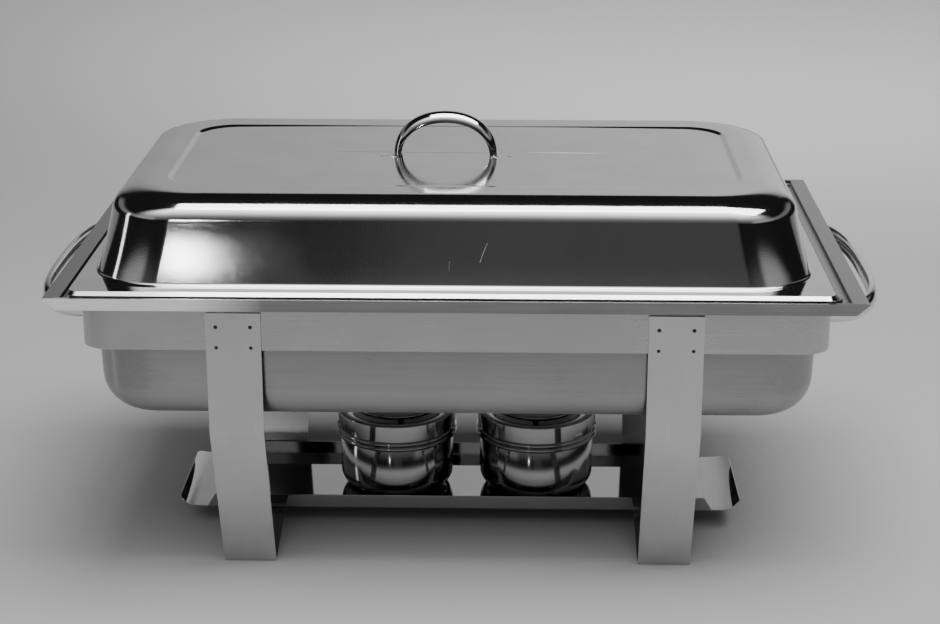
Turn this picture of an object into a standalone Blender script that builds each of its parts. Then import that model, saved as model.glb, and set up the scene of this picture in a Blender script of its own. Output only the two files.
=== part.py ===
"""Chafing dish food warmer: full-size roll-edge lid, food pan, water pan, welded sheet frame, two burners.

Metres, +Z up. The origin is on the floor under the middle of the frame, +X runs along the long side
and the front faces -Y. Run with: blender --background --python part.py
"""
import math

import bmesh
import bpy
from mathutils import Matrix, Vector

MM = 0.001
GAP = 0.3 * MM                      # air kept between touching pieces

# Gastronorm 1/1 plan size shared by the lid and both pans
FLANGE = (265.0 * MM, 162.5 * MM)   # half length and half width over the flange
FLANGE_CORNER = 9.0 * MM
SHEET = 0.8 * MM

# Frame: four folded rails round the top, a skirt band below them
RAIL_TOP = 219.0 * MM
RAIL_BOTTOM = 209.0 * MM
LEDGE_TOP = 216.0 * MM
LEDGE_THICK = 1.0 * MM
RAIL_OUTER = (282.8 * MM, 167.0 * MM)
RAIL_INNER = (270.0 * MM, 163.8 * MM)
RAIL_FOOT = (274.3 * MM, 161.8 * MM)
RAIL_WALL = 1.2 * MM
RAIL_INSIDE_FOOT = (271.2 * MM, 163.4 * MM)     # inner skin: under the ledge's outer edge,
RAIL_INSIDE_TOP = (271.2 * MM, 164.9 * MM)      # under the top's inner edge,
RAIL_INSIDE_EDGE = (280.4 * MM, 165.4 * MM)     # under its outer edge
RAIL_HEM = (273.1 * MM, 160.7 * MM)             # and inside the fascia's lower edge
RAIL_HEM_RISE = 0.3 * MM
MITRE_GAP = 0.25 * MM
SKIRT = (260.0 * MM, 158.0 * MM)
SKIRT_CORNER = 20.0 * MM
SKIRT_BOTTOM = 179.5 * MM
SKIRT_WALL = 1.0 * MM

# Legs: one bent strip each, standing on two short flat feet
LEG_X = 152.4 * MM
LEG_WIDTH = 38.2 * MM
LEG_THICK = 1.5 * MM
LEG_TOP = 207.0 * MM
KNEE_Z = 118.0 * MM
FOOT_OUTER_Y = 116.6 * MM
FOOT_INNER_Y = 112.6 * MM
CROSS_Y = 57.0 * MM

# Fuel shelf between the legs
SHELF_BOTTOM = 15.0 * MM
SHELF_HALF_WIDTH = 54.0 * MM
SHELF_LIP_TOP = 25.8 * MM
SHELF_LIP_HALF = (193.0 * MM, 187.0 * MM)   # half length of the lip at its foot and at its top
WING_END = 215.5 * MM
WING_RISE = 5.2 * MM
WING_CURL = 4.0                     # higher keeps the wing flat for longer before it curls up
WING_CORNER = 12.0 * MM

# Pans
WATER_TOP = 217.8 * MM
WATER_BOTTOM = 123.7 * MM
WATER_BODY = (256.0 * MM, 154.0 * MM)
WATER_DRAFT = 2.5 * MM
WATER_FLOOR_RADIUS = 26.0 * MM
FOOD_TOP = 219.6 * MM
FOOD_BOTTOM = 155.5 * MM
FOOD_BODY = (250.5 * MM, 148.0 * MM)
FOOD_DRAFT = 4.0 * MM
FOOD_FLOOR_RADIUS = 18.0 * MM
PAN_CORNER = 44.0 * MM

# Lid
LID_X = -2.4 * MM                   # the loose lid sits a little to the left in the frame
LID_LIP_BOTTOM = 219.9 * MM
LID_FLANGE_TOP = 222.5 * MM
LID_FOOT = (251.9 * MM, 146.2 * MM)         # half sizes at the foot of the wall
LID_FOOT_RADIUS = 3.0 * MM                  # bend from the wall to the flange
LID_BEVEL = 2.4 * MM                        # sloping edge round the flange
LID_LEAN = (16.2, 10.5)                     # degrees that the wall leans inwards, at its foot and top
LID_CROWN_RADII = (15.0 * MM, 36.0 * MM)    # the crown is tighter next to the wall than next to the top
LID_CROWN_CHANGE = 62.0                     # and changes from one to the other at this angle
LID_TOP = 280.5 * MM
LID_CORNER = 48.0 * MM
PANEL = (202.0 * MM, 90.0 * MM)             # panel pressed down into the lid's top
PANEL_DROP = 1.5 * MM
PANEL_SLOPE = 5.0 * MM
PANEL_CORNER = 26.0 * MM

# Handles: pressed half-round channels with flat tabs
LID_HANDLE_X = -11.0 * MM
LID_HANDLE_HALF = 38.5 * MM
LID_HANDLE_RISE = 34.2 * MM
LID_HANDLE_WIDTH = 16.0 * MM
LID_HANDLE_DEPTH = 7.5 * MM
LID_HANDLE_TAB = (10.0 * MM, 9.0 * MM)      # length and width of a tab
LID_HANDLE_FULLNESS = 2.15                  # 2 is an ellipse, more is squarer
SIDE_HANDLE_Z = 194.0 * MM
SIDE_HANDLE_HALF = 113.2 * MM
SIDE_HANDLE_REACH = 48.4 * MM
SIDE_HANDLE_WIDTH = 14.0 * MM
SIDE_HANDLE_DEPTH = 6.0 * MM
SIDE_HANDLE_TAB = (9.0 * MM, 10.0 * MM)
SIDE_HANDLE_FULLNESS = 2.86
TAB_CROWN = 0.15 * MM               # a tab is almost flat
ARCH_FOOT = 0.7 * MM                # height over the tab where the arch starts

# Burners: an open cup, a ring cover and a swivelling damper on a rivet
BURNERS = {"left": -50.0 * MM, "right": 59.0 * MM}      # X of each burner's axis
CUP_RADIUS = 44.0 * MM
CUP_BOTTOM = 16.1 * MM
CUP_TOP = 77.9 * MM
CUP_FLOOR_RADIUS = 13.0 * MM
COVER_RADIUS = 46.0 * MM
COVER_BEAD = 46.9 * MM
COVER_BOTTOM = 58.0 * MM
COVER_SHOULDER = 65.6 * MM
COVER_TOP = 79.0 * MM
FLAME_HOLE = 28.0 * MM
DAMPER_RADIUS = 32.8 * MM
DAMPER_BOTTOM = 79.5 * MM
DAMPER_TOP = 82.3 * MM
RIVET_Y = 39.5 * MM
RIVET_SHANK = 2.0 * MM
RIVET_HEAD = 3.6 * MM
RIVET_TAIL = 3.2 * MM
EAR_HALF_WIDTH = 5.0 * MM
EAR_HALF_LENGTH = 9.0 * MM
EAR_OFFSET = 3.0 * MM
EAR_THICK = 1.0 * MM

CORNER_STEPS = 6
ROUND_STEPS = 36

PARTS = "chafing_dish"
CUTTERS = "cutters"


# ---------------------------------------------------------------- scene and materials

def clear_scene():
    for obj in list(bpy.data.objects):
        bpy.data.objects.remove(obj, do_unlink=True)


def collection(name):
    found = bpy.data.collections.get(name)
    if found is None:
        found = bpy.data.collections.new(name)
        bpy.context.scene.collection.children.link(found)
    return found


def metal(name, shade, roughness):
    material = bpy.data.materials.new(name)
    material.use_nodes = True
    shader = material.node_tree.nodes["Principled BSDF"]
    shader.inputs["Base Color"].default_value = (shade, shade, shade, 1.0)
    shader.inputs["Metallic"].default_value = 1.0
    shader.inputs["Roughness"].default_value = roughness
    return material


def add_object(name, mesh, finish, home=PARTS):
    obj = bpy.data.objects.new(name, mesh)
    collection(home).objects.link(obj)
    if finish:
        obj.data.materials.append(metal(name + "_metal", *finish))
    return obj


POLISHED = (0.62, 0.12)
SATIN = (0.50, 0.30)


# ---------------------------------------------------------------- outlines and profiles

def rounded_rectangle(half_x, half_y, radius, z, steps=CORNER_STEPS):
    """Counter-clockwise loop of a rectangle with round corners."""
    points = []
    for quarter in range(4):
        sign_x = 1 if quarter in (0, 3) else -1
        sign_y = 1 if quarter in (0, 1) else -1
        for step in range(steps + 1):
            angle = math.radians(90 * (quarter + step / steps))
            points.append(Vector((sign_x * (half_x - radius) + radius * math.cos(angle),
                                  sign_y * (half_y - radius) + radius * math.sin(angle), z)))
    return points


def arc(centre, radius, start, end, steps):
    """Points (u, v) on a circle from one angle to another, in degrees."""
    points = []
    for step in range(steps + 1):
        angle = math.radians(start + (end - start) * step / steps)
        points.append((centre[0] + radius * math.cos(angle), centre[1] + radius * math.sin(angle)))
    return points


def filleted(points, radius, steps=3):
    """Polyline (u, v) whose inner corners are rounded by the given radius."""
    result = [points[0]]
    for before, corner, after in zip(points, points[1:], points[2:]):
        corner = Vector(corner)
        towards = (Vector(before) - corner).normalized()
        away = (Vector(after) - corner).normalized()
        half = towards.angle(away) / 2
        reach = radius / math.tan(half)
        centre = corner + (towards + away).normalized() * radius / math.sin(half)
        first = corner + towards * reach - centre
        last = corner + away * reach - centre
        for step in range(steps + 1):
            spoke = first.lerp(last, step / steps).normalized() * radius
            result.append(tuple(centre + spoke))
    result.append(points[-1])
    return result


# ---------------------------------------------------------------- mesh makers

def mesh_from_rows(name, rows, closed_rows, fill_last=False):
    """Surface through rows of points; a closed row is a loop, and the last loop may be filled."""
    mesh_data = bmesh.new()
    grid = [[mesh_data.verts.new(point) for point in row] for row in rows]
    count = len(rows[0])
    spans = count if closed_rows else count - 1
    for row, following in zip(grid, grid[1:]):
        for index in range(spans):
            after = (index + 1) % count
            mesh_data.faces.new((row[index], row[after], following[after], following[index]))
    if fill_last:
        mesh_data.faces.new(grid[-1])
    mesh = bpy.data.meshes.new(name)
    mesh_data.to_mesh(mesh)
    mesh_data.free()
    return mesh


def thicken(obj, thickness, even=True):
    solidify = obj.modifiers.new("thickness", "SOLIDIFY")
    solidify.thickness = thickness
    solidify.offset = -1.0
    solidify.use_even_offset = even
    solidify.use_quality_normals = True


def shade_smooth(obj, angle=35):
    obj.data.shade_smooth()
    obj.data.set_sharp_from_angle(angle=math.radians(angle))


def sheet(name, rows, thickness, finish, closed_rows=False, fill_last=False, flip=False,
          even=True):
    """Sheet metal: an open surface thickened on the side away from its normals."""
    mesh = mesh_from_rows(name, rows, closed_rows, fill_last)
    if flip:
        mesh.flip_normals()
    obj = add_object(name, mesh, finish)
    thicken(obj, thickness, even)
    shade_smooth(obj)
    return obj


def turned(name, profile, finish, place, thickness=0.0):
    """Turned piece: a profile (radius, z) from its top down its outer side; spun sheet is thickened."""
    mesh = bpy.data.meshes.new(name)
    vertices = [(radius, 0.0, z) for radius, z in profile]
    edges = [(index, index + 1) for index in range(len(profile) - 1)]
    mesh.from_pydata(vertices, edges, [])
    obj = add_object(name, mesh, finish)
    obj.location = place
    screw = obj.modifiers.new("spin", "SCREW")
    screw.steps = ROUND_STEPS
    screw.render_steps = ROUND_STEPS
    screw.use_merge_vertices = True
    screw.merge_threshold = 0.00001
    screw.use_smooth_shade = True
    if thickness:
        thicken(obj, thickness)
    return obj


def cylinder(name, radius, bottom, top, place, stretch_y=1.0):
    """Helper solid for a Boolean, round or stretched along Y."""
    mesh_data = bmesh.new()
    shape = Matrix.Translation((0, 0, (top + bottom) / 2)) @ Matrix.Diagonal((1, stretch_y, 1, 1))
    bmesh.ops.create_cone(mesh_data, cap_ends=True, segments=24, radius1=radius, radius2=radius,
                          depth=top - bottom, matrix=shape)
    mesh = bpy.data.meshes.new(name)
    mesh_data.to_mesh(mesh)
    mesh_data.free()
    obj = add_object(name, mesh, None, CUTTERS)
    obj.location = place
    obj.hide_render = True
    obj.display_type = "WIRE"
    return obj


def boolean(obj, other, operation):
    modifier = obj.modifiers.new(operation.lower(), "BOOLEAN")
    modifier.object = other
    modifier.operation = operation


# ---------------------------------------------------------------- frame

def rail_section():
    """Pairs of outer-skin and inner-skin corners (x, y, z) from the ledge over the top to the hem.

    The same corners serve the long rails, which read y, and the short rails, which read x.
    """
    ledge = (SKIRT[0] + GAP, SKIRT[1] + GAP)
    under = LEDGE_TOP - LEDGE_THICK
    below = RAIL_TOP - RAIL_WALL
    return [
        ((*ledge, LEDGE_TOP), (*ledge, under)),
        ((*RAIL_INNER, LEDGE_TOP), (*RAIL_INSIDE_FOOT, under)),
        ((*RAIL_INNER, RAIL_TOP), (*RAIL_INSIDE_TOP, below)),
        ((*RAIL_OUTER, RAIL_TOP), (*RAIL_INSIDE_EDGE, below)),
        ((*RAIL_FOOT, RAIL_BOTTOM), (*RAIL_HEM, RAIL_BOTTOM + RAIL_HEM_RISE)),
    ]


def rail(name, along_x, side):
    """One folded rail between two mitred corners, built from the corners of its section."""
    mesh_data = bmesh.new()
    ends = []
    for end in (-1, 1):
        pairs = []
        for pair in rail_section():
            corners = []
            for x, y, z in pair:
                if along_x:
                    point = (end * (x - MITRE_GAP), side * y, z)
                else:
                    point = (side * x, end * (y - MITRE_GAP), z)
                corners.append(mesh_data.verts.new(point))
            pairs.append(corners)
        ends.append(pairs)
    near, far = ends
    for index in range(len(near) - 1):
        for skin in (0, 1):
            mesh_data.faces.new((near[index][skin], near[index + 1][skin],
                                 far[index + 1][skin], far[index][skin]))
        for cap in (near, far):
            first, second = cap[index], cap[index + 1]
            mesh_data.faces.new((first[0], second[0], second[1]))
            mesh_data.faces.new((first[0], second[1], first[1]))
    for edge in (0, -1):
        mesh_data.faces.new((near[edge][0], near[edge][1], far[edge][1], far[edge][0]))
    bmesh.ops.recalc_face_normals(mesh_data, faces=mesh_data.faces)
    mesh = bpy.data.meshes.new(name)
    mesh_data.to_mesh(mesh)
    mesh_data.free()
    return add_object(name, mesh, SATIN)


def make_skirt():
    rows = [rounded_rectangle(*SKIRT, SKIRT_CORNER, z) for z in (SKIRT_BOTTOM, LEDGE_TOP)]
    return sheet("frame_skirt", rows, SKIRT_WALL, SATIN, closed_rows=True)


def leg_path():
    """Outer skin of one leg strip in (y, z), from the front top round the feet to the back top."""
    face = SKIRT[1] + GAP + LEG_THICK
    cross = SHELF_BOTTOM - GAP - LEG_THICK
    half = [(-face, LEG_TOP), (-face, KNEE_Z), (-FOOT_OUTER_Y, 0.0), (-FOOT_INNER_Y, 0.0),
            (-CROSS_Y, cross)]
    return filleted(half + [(-y, z) for y, z in reversed(half)], 1.2 * MM, 2)


def make_leg(name, side):
    edges = (side * LEG_X - LEG_WIDTH / 2, side * LEG_X + LEG_WIDTH / 2)
    rows = [[Vector((x, y, z)) for y, z in leg_path()] for x in edges]
    return sheet(name, rows, LEG_THICK, SATIN)


def wing_row(travel):
    """Place and half width of the shelf's end wing, from its root (0) to its tip (1)."""
    foot = SHELF_LIP_HALF[0]
    x = foot + (WING_END - foot) * travel
    late = min(max(0.0, x - WING_END + WING_CORNER), WING_CORNER)
    half = SHELF_HALF_WIDTH - WING_CORNER + math.sqrt(WING_CORNER ** 2 - late ** 2)
    return x, half, SHELF_BOTTOM + WING_RISE * travel ** WING_CURL


def make_shelf():
    """Flat shelf with an upturned lip along the front and back and a curled-up wing at each end."""
    steps = 8
    travels = [1 - (1 - step / steps) ** 1.5 for step in range(steps + 1)]
    stations = [wing_row(travel) for travel in travels]
    stations = [(-x, half, z) for x, half, z in reversed(stations)] + stations
    mesh_data = bmesh.new()
    rows = [[mesh_data.verts.new((x, side * half, z)) for side in (-1, 1)] for x, half, z in stations]
    for row, following in zip(rows, rows[1:]):
        mesh_data.faces.new((row[0], row[1], following[1], following[0]))
    near, far = rows[steps], rows[steps + 1]
    for side, y in ((0, -SHELF_HALF_WIDTH), (1, SHELF_HALF_WIDTH)):
        lip = [mesh_data.verts.new((x, y, SHELF_LIP_TOP)) for x in (-SHELF_LIP_HALF[1], SHELF_LIP_HALF[1])]
        mesh_data.faces.new((near[side], far[side], lip[1], lip[0]))
    bmesh.ops.recalc_face_normals(mesh_data, faces=mesh_data.faces)
    if sum(face.normal.z for face in mesh_data.faces) > 0:
        bmesh.ops.reverse_faces(mesh_data, faces=mesh_data.faces)
    mesh = bpy.data.meshes.new("fuel_shelf")
    mesh_data.to_mesh(mesh)
    mesh_data.free()
    shelf = add_object("fuel_shelf", mesh, POLISHED)
    thicken(shelf, SHEET)
    shade_smooth(shelf)


# ---------------------------------------------------------------- pans and lid

def pan_rows(top, bottom, body, draft, floor_radius, lip_drop):
    """Lower skin of a flanged pan, from the lip round the flange and down to the floor."""
    skin_top = top - SHEET
    rows = []
    lip = [(FLANGE[0] - SHEET, top - lip_drop), (FLANGE[0] - SHEET, skin_top)]
    for x, z in lip:
        inset = FLANGE[0] - x
        rows.append(rounded_rectangle(x, FLANGE[1] - inset, FLANGE_CORNER - inset, z))
    bend = 2.0 * MM
    for x, z in arc((body[0] + bend, skin_top - bend), bend, 90, 180, 3):
        inset = x - body[0]
        rows.append(rounded_rectangle(x, body[1] + inset, PAN_CORNER + inset, z))
    lean = math.degrees(math.atan2(draft, top - bottom))
    centre = (body[0] - draft - floor_radius, bottom + floor_radius)
    for x, z in arc(centre, floor_radius, -lean, -90, 6):
        inset = x - body[0]
        radius = max(PAN_CORNER + inset, 6 * MM)
        rows.append(rounded_rectangle(x, body[1] + inset, radius, z))
    return rows


def make_pan(name, lip_drop, **shape):
    return sheet(name, pan_rows(lip_drop=lip_drop, **shape), SHEET, POLISHED,
                 closed_rows=True, fill_last=True, flip=True)


def lid_wall():
    """Pairs (growth of the plan size, height) from the flange up the slightly hollow wall to the crown."""
    foot_lean, top_lean = (math.radians(lean) for lean in LID_LEAN)
    foot_z = LID_FLANGE_TOP + LID_FOOT_RADIUS * (1 - math.sin(foot_lean))
    change = math.radians(LID_CROWN_CHANGE)
    tight, wide = LID_CROWN_RADII
    top_z = LID_TOP - wide * (1 - math.sin(change)) - tight * (math.sin(change) - math.sin(top_lean))
    sweep = (top_z - foot_z) / (math.sin(foot_lean) - math.sin(top_lean))
    bend = arc((LID_FOOT_RADIUS * math.cos(foot_lean), LID_FLANGE_TOP + LID_FOOT_RADIUS),
               LID_FOOT_RADIUS, 270, 180 + LID_LEAN[0], 4)
    wall = arc((sweep * math.cos(foot_lean), foot_z + sweep * math.sin(foot_lean)), sweep,
               180 + LID_LEAN[0], 180 + LID_LEAN[1], 2)
    centre = Vector((wall[-1][0] - tight * math.cos(top_lean), top_z - tight * math.sin(top_lean)))
    shoulder = arc(centre, tight, LID_LEAN[1], LID_CROWN_CHANGE, 6)
    centre -= Vector((math.cos(change), math.sin(change))) * (wide - tight)
    crown = arc(centre, wide, LID_CROWN_CHANGE, 90, 3)
    return bend + wall[1:-1] + shoulder + crown[1:]


def lid_rows():
    """Outer skin of the lid, from its lip over the flange and wall to the panel."""
    bevel = [(0.0, LID_LIP_BOTTOM), (0.0, LID_FLANGE_TOP - LID_BEVEL), (LID_BEVEL, LID_FLANGE_TOP)]
    sizes = [(FLANGE[0] - inset, FLANGE[1] - inset, FLANGE_CORNER - inset, z) for inset, z in bevel]
    for grow, z in lid_wall():
        sizes.append((LID_FOOT[0] + grow, LID_FOOT[1] + grow, LID_CORNER + max(grow, 0.0), z))
    for step in range(4):
        grow = PANEL_SLOPE * (1 - step / 3)
        drop = PANEL_DROP * (1 - math.cos(math.pi * step / 3)) / 2
        sizes.append((PANEL[0] + grow, PANEL[1] + grow, PANEL_CORNER + grow, LID_TOP - drop))
    offset = Vector((LID_X, 0, 0))
    return [[point + offset for point in rounded_rectangle(*size)] for size in sizes]


def make_lid():
    sheet("lid_shell", lid_rows(), SHEET, POLISHED, closed_rows=True, fill_last=True)


# ---------------------------------------------------------------- handles

def arch_points(half, rise, fullness, steps):
    """Arch in (u, v) from (-half, 0) over (0, rise) to (half, 0): a superellipse."""
    points = []
    for step in range(steps + 1):
        angle = math.pi * (1 - step / steps)
        u = math.copysign(abs(math.cos(angle)) ** (2 / fullness), math.cos(angle)) * half
        v = max(math.sin(angle), 0.0) ** (2 / fullness) * (rise - ARCH_FOOT) + ARCH_FOOT
        points.append(Vector((u, v)))
    return points


def channel_rows(half, rise, fullness, width, depth, tab, steps, ribs=6):
    """Rows of a half-round channel bent into an arch, ending in flat tabs that turn outwards."""
    arch = arch_points(half, rise, fullness, steps)
    stations = []
    for index, point in enumerate(arch):
        before, after = arch[max(index - 1, 0)], arch[min(index + 1, steps)]
        along = (after - before).normalized()
        height = math.sin(math.pi * index / steps)
        stations.append((point, Vector((-along.y, along.x)), depth * (0.72 + 0.28 * height), width / 2))
    length, tab_width = tab
    bend = 1.6 * MM
    for sign in (-1, 1):
        foot = Vector((sign * half, 0.0))
        flat = [(foot + Vector((sign * bend * 0.3, bend * 0.5)), Vector((sign * 0.6, 0.8)), width * 0.4),
                (foot + Vector((sign * bend, 0.0)), Vector((0.0, 1.0)), tab_width * 0.5),
                (foot + Vector((sign * length, 0.0)), Vector((0.0, 1.0)), tab_width * 0.42)]
        flat = [(point, outward, TAB_CROWN, half_width) for point, outward, half_width in flat]
        stations = stations + flat if sign > 0 else flat[::-1] + stations
    rows = []
    for point, outward, sink, half_width in stations:
        row = []
        for rib in range(ribs + 1):
            angle = math.pi * rib / ribs
            place = point - outward * sink * (1 - math.sin(angle))
            row.append(Vector((place.x, math.cos(angle) * half_width, place.y)))
        rows.append(row)
    return rows


def make_lid_handle():
    rows = channel_rows(LID_HANDLE_HALF, LID_HANDLE_RISE - SHEET, LID_HANDLE_FULLNESS,
                        LID_HANDLE_WIDTH, LID_HANDLE_DEPTH, LID_HANDLE_TAB, steps=16)
    lift = LID_TOP - PANEL_DROP + GAP + SHEET + TAB_CROWN
    rows = [[Vector((LID_HANDLE_X + p.x, p.y, lift + p.z)) for p in row] for row in rows]
    sheet("lid_handle", rows, SHEET, POLISHED, even=False)


def make_side_handle(name, side):
    rows = channel_rows(SIDE_HANDLE_HALF, SIDE_HANDLE_REACH - SHEET, SIDE_HANDLE_FULLNESS,
                        SIDE_HANDLE_WIDTH, SIDE_HANDLE_DEPTH, SIDE_HANDLE_TAB, steps=20)
    wall = SKIRT[0] + GAP + SHEET + TAB_CROWN
    placed = [[Vector((side * (wall + p.z), -side * p.x, SIDE_HANDLE_Z - p.y)) for p in row]
              for row in rows]
    sheet(name, placed, SHEET, POLISHED, even=False)


# ---------------------------------------------------------------- burners

def make_cup(side, x):
    profile = [(CUP_RADIUS, CUP_TOP)]
    centre = (CUP_RADIUS - CUP_FLOOR_RADIUS, CUP_BOTTOM + CUP_FLOOR_RADIUS)
    profile += arc(centre, CUP_FLOOR_RADIUS, 0, -90, 6)
    profile.append((0.0, CUP_BOTTOM))
    turned("burner_cup_" + side, profile, POLISHED, (x, 0, 0), SHEET)


def make_cover(side, x):
    """Ring cover with a flame hole, a straight band and a rolled bead round its foot."""
    edge = 1.4 * MM
    bead = (COVER_SHOULDER - COVER_BOTTOM) / 2
    profile = [(FLAME_HOLE, COVER_TOP)]
    profile += arc((COVER_RADIUS - edge, COVER_TOP - edge), edge, 90, 0, 3)
    profile.append((COVER_RADIUS, COVER_SHOULDER))
    for step in range(1, 4):
        angle = math.pi * step / 4
        profile.append((COVER_RADIUS + (COVER_BEAD - COVER_RADIUS) * math.sin(angle),
                        COVER_BOTTOM + bead + bead * math.cos(angle)))
    profile.append((COVER_RADIUS, COVER_BOTTOM))
    cover = turned("burner_cover_" + side, profile, POLISHED, (x, 0, 0), SHEET)
    hole = cylinder("cover_hole_" + side, RIVET_SHANK + GAP, COVER_TOP - 2 * MM, COVER_TOP + 2 * MM,
                    (x, RIVET_Y, 0))
    boolean(cover, hole, "DIFFERENCE")


def make_damper(side, x):
    """Shallow cap over the flame hole, with an ear that turns on the rivet."""
    lip = 1.2 * MM
    profile = [(0.0, DAMPER_TOP)]
    profile += arc((DAMPER_RADIUS - lip, DAMPER_TOP - lip), lip, 90, 0, 3)
    profile.append((DAMPER_RADIUS, DAMPER_BOTTOM))
    pivot = bpy.data.objects.new("damper_pivot_" + side, None)
    collection(PARTS).objects.link(pivot)
    pivot.location = (x, RIVET_Y, 0)
    damper = turned("burner_damper_" + side, profile, POLISHED, (0, -RIVET_Y, 0), SHEET)
    damper.parent = pivot
    ear_top = DAMPER_BOTTOM + EAR_THICK
    ear = cylinder("damper_ear_" + side, EAR_HALF_WIDTH, DAMPER_BOTTOM, ear_top,
                   (x, RIVET_Y - EAR_OFFSET, 0), EAR_HALF_LENGTH / EAR_HALF_WIDTH)
    boolean(damper, ear, "UNION")
    hole = cylinder("damper_hole_" + side, RIVET_SHANK + GAP, DAMPER_BOTTOM - 1 * MM,
                    ear_top + 1 * MM, (x, RIVET_Y, 0))
    boolean(damper, hole, "DIFFERENCE")


def make_rivet(side, x):
    """Headed both ends, loose in the ear and the cover so that the damper can turn."""
    under_head = DAMPER_BOTTOM + EAR_THICK + GAP
    tail = COVER_TOP - SHEET - GAP
    profile = [(0.0, under_head + 1.4 * MM), (2.4 * MM, under_head + 1.1 * MM),
               (RIVET_HEAD, under_head + 0.3 * MM), (RIVET_HEAD, under_head),
               (RIVET_SHANK, under_head), (RIVET_SHANK, tail), (RIVET_TAIL, tail),
               (RIVET_TAIL, tail - 0.6 * MM), (0.0, tail - 0.8 * MM)]
    turned("damper_rivet_" + side, profile, POLISHED, (x, RIVET_Y, 0))


def main():
    clear_scene()
    collection(PARTS)
    collection(CUTTERS)
    rail("frame_rail_front", True, -1)
    rail("frame_rail_back", True, 1)
    rail("frame_rail_left", False, -1)
    rail("frame_rail_right", False, 1)
    make_skirt()
    make_leg("leg_left", -1)
    make_leg("leg_right", 1)
    make_shelf()
    make_side_handle("side_handle_left", -1)
    make_side_handle("side_handle_right", 1)
    make_pan("water_pan", 1.5 * MM, top=WATER_TOP, bottom=WATER_BOTTOM, body=WATER_BODY,
             draft=WATER_DRAFT, floor_radius=WATER_FLOOR_RADIUS)
    make_pan("food_pan", 1.5 * MM, top=FOOD_TOP, bottom=FOOD_BOTTOM, body=FOOD_BODY,
             draft=FOOD_DRAFT, floor_radius=FOOD_FLOOR_RADIUS)
    make_lid()
    make_lid_handle()
    for side, x in BURNERS.items():
        make_cup(side, x)
        make_cover(side, x)
        make_damper(side, x)
        make_rivet(side, x)


main()
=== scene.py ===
"""Chafing dish food warmer: the looks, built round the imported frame. Metres, +Z up, front faces -Y."""
import math

import bmesh
import bpy
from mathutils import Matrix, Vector


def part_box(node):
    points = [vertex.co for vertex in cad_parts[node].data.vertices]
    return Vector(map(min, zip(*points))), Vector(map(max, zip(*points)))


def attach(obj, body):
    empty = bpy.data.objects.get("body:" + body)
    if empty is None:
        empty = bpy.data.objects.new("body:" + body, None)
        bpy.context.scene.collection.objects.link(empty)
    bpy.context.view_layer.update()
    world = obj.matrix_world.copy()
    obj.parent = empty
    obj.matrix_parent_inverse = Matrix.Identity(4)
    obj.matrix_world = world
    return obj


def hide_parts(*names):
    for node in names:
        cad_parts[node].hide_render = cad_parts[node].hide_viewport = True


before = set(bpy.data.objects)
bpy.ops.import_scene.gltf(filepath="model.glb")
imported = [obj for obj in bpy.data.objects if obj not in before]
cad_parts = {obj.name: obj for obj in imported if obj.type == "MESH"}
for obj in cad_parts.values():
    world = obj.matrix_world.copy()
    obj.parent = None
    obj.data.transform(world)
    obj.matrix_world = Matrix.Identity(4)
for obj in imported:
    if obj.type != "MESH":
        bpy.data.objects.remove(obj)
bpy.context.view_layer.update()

MM = 0.001
SHEET = 0.8 * MM
PIN_HOLE = 0.02 * MM                        # radius that stands for zero on a turned piece


# ---------------------------------------------------------------- places read from the frame

def low(node, axis):
    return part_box(node)[0][axis]


def high(node, axis):
    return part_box(node)[1][axis]


# Rim
RAIL_TOP = high("frame_rail_front", 2)
RAIL_BOTTOM = low("frame_rail_front", 2)
LEDGE_TOP = RAIL_TOP - 3.0 * MM
RAIL_OUTER = (high("frame_rail_right", 0), high("frame_rail_back", 1))
RAIL_INNER = (RAIL_OUTER[0] - 12.8 * MM, RAIL_OUTER[1] - 3.2 * MM)
RAIL_FOOT = (RAIL_OUTER[0] - 8.5 * MM, RAIL_OUTER[1] - 5.2 * MM)
MITRE_GAP = 0.25 * MM
RAIL_BEND = 0.7 * MM
RAIL_SHEET = 1.0 * MM
SKIRT = (high("frame_skirt", 0), high("frame_skirt", 1))
SKIRT_BOTTOM = low("frame_skirt", 2)
SKIRT_CORNER = 20.0 * MM
SKIRT_WALL = 1.0 * MM
GAP = 0.3 * MM

# Legs
LEG_X = (low("leg_right", 0) + high("leg_right", 0)) / 2
LEG_WIDTH = high("leg_right", 0) - low("leg_right", 0)
LEG_THICK = 1.5 * MM
LEG_TOP = high("leg_right", 2)
LEG_BEND = 1.2 * MM
LEG_FACE = high("leg_right", 1)
KNEE_Z = 118.0 * MM
KNEE_RIDGE = 0.35 * MM                      # the fold stands out along its edge
FOOT_OUTER_Y = 116.6 * MM
FOOT_INNER_Y = 112.6 * MM
CROSS_Y = 57.0 * MM
WELD_COLUMNS = (-12.0 * MM, 12.0 * MM)
WELD_ROWS = (197.0 * MM, 182.0 * MM)
WELD_RADIUS = 1.5 * MM
WELD_HEIGHT = 0.2 * MM

# Shelf
SHELF_BOTTOM = low("fuel_shelf", 2)
SHELF_HALF_WIDTH = high("fuel_shelf", 1)
SHELF_LIP_TOP = high("fuel_shelf", 2)
SHELF_LIP_HALF = (193.0 * MM, 187.0 * MM)
WING_END = high("fuel_shelf", 0)
WING_RISE = 5.2 * MM
WING_CURL = 4.0
SHELF_LIP_LEAN = 1.5 * MM                  # the lip leans out by this much at its top
WING_CORNER = 12.0 * MM

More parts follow.
